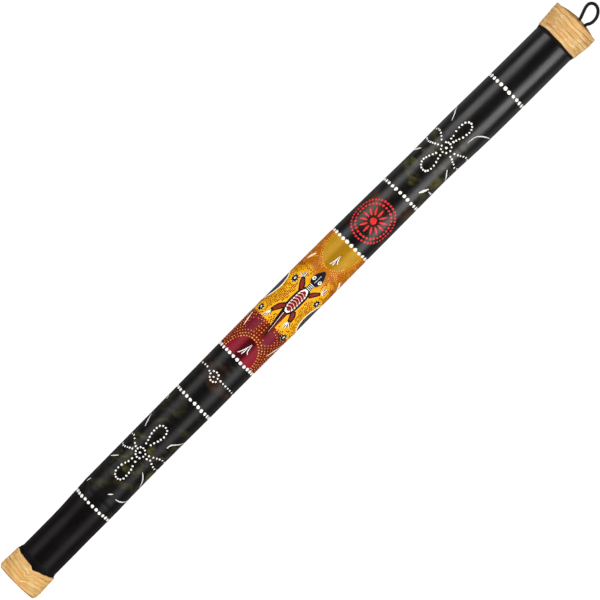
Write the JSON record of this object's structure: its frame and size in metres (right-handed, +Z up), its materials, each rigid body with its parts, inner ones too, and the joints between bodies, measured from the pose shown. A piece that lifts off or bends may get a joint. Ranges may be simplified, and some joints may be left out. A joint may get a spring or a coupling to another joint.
{
  "type": "rainstick",
  "caption": "Long capped bamboo tube with a spiral of inner pins and loose seeds that trickle with a rain sound; rattan bound ends and a hanging loop.",
  "frame": {"origin": "centre of the bottom cap's flat face, which the stick stands on", "axes": "+Z up along the stick towards the end with the hanging loop; the painted front faces -Y; +X is to the right seen from the front"},
  "size_m": [0.0664, 0.0664, 1.0273],
  "materials": {
    "painted_bamboo": "satin black paint with hand painted decoration",
    "cap_wood": "turned and oiled",
    "band_cloth": "glue soaked cloth",
    "rattan": "natural split rattan",
    "cord": "waxed braid",
    "pin_bamboo": "raw split bamboo",
    "kernels": "dry seed hulls",
    "seeds": "small dry seeds"
  },
  "bodies": {
    "stick": {"bamboo_tube": "painted_bamboo", "end_cap_bottom": "cap_wood", "end_cap_top": "cap_wood", "cloth_band_bottom": "band_cloth", "cloth_band_top": "band_cloth", "rattan_strip_bottom": "rattan", "rattan_strip_top": "rattan", "hanging_cord_legs": "cord", "hanging_cord_knots": "cord", "spiral_pins_1": "pin_bamboo", "spiral_pins_2": "pin_bamboo", "spiral_pins_3": "pin_bamboo", "spiral_pins_4": "pin_bamboo"},
    "hanging_loop": {"hanging_loop": "cord"},
    "fill_1": {"kernels_1": "kernels", "seeds_1": "seeds"},
    "fill_2": {"kernels_2": "kernels", "seeds_2": "seeds"},
    "fill_3": {"kernels_3": "kernels", "seeds_3": "seeds"},
    "fill_4": {"kernels_4": "kernels", "seeds_4": "seeds"}
  },
  "joints": [
    {"name": "hanging_loop_flop", "type": "hinge", "parent": "stick", "child": "hanging_loop", "pos_m": [0.0065, -0.0244, 0.9986], "axis": [1, 0, 0], "range_deg": [-75, 95], "stiffness_Nm_per_rad": 0.002},
    {"name": "fill_1_fall", "type": "slide", "parent": "stick", "child": "fill_1", "axis": [0, 0, 1], "range_m": [0, 0.895]},
    {"name": "fill_2_fall", "type": "slide", "parent": "stick", "child": "fill_2", "axis": [0, 0, 1], "range_m": [0, 0.895]},
    {"name": "fill_3_fall", "type": "slide", "parent": "stick", "child": "fill_3", "axis": [0, 0, 1], "range_m": [0, 0.895]},
    {"name": "fill_4_fall", "type": "slide", "parent": "stick", "child": "fill_4", "axis": [0, 0, 1], "range_m": [0, 0.895]}
  ]
}
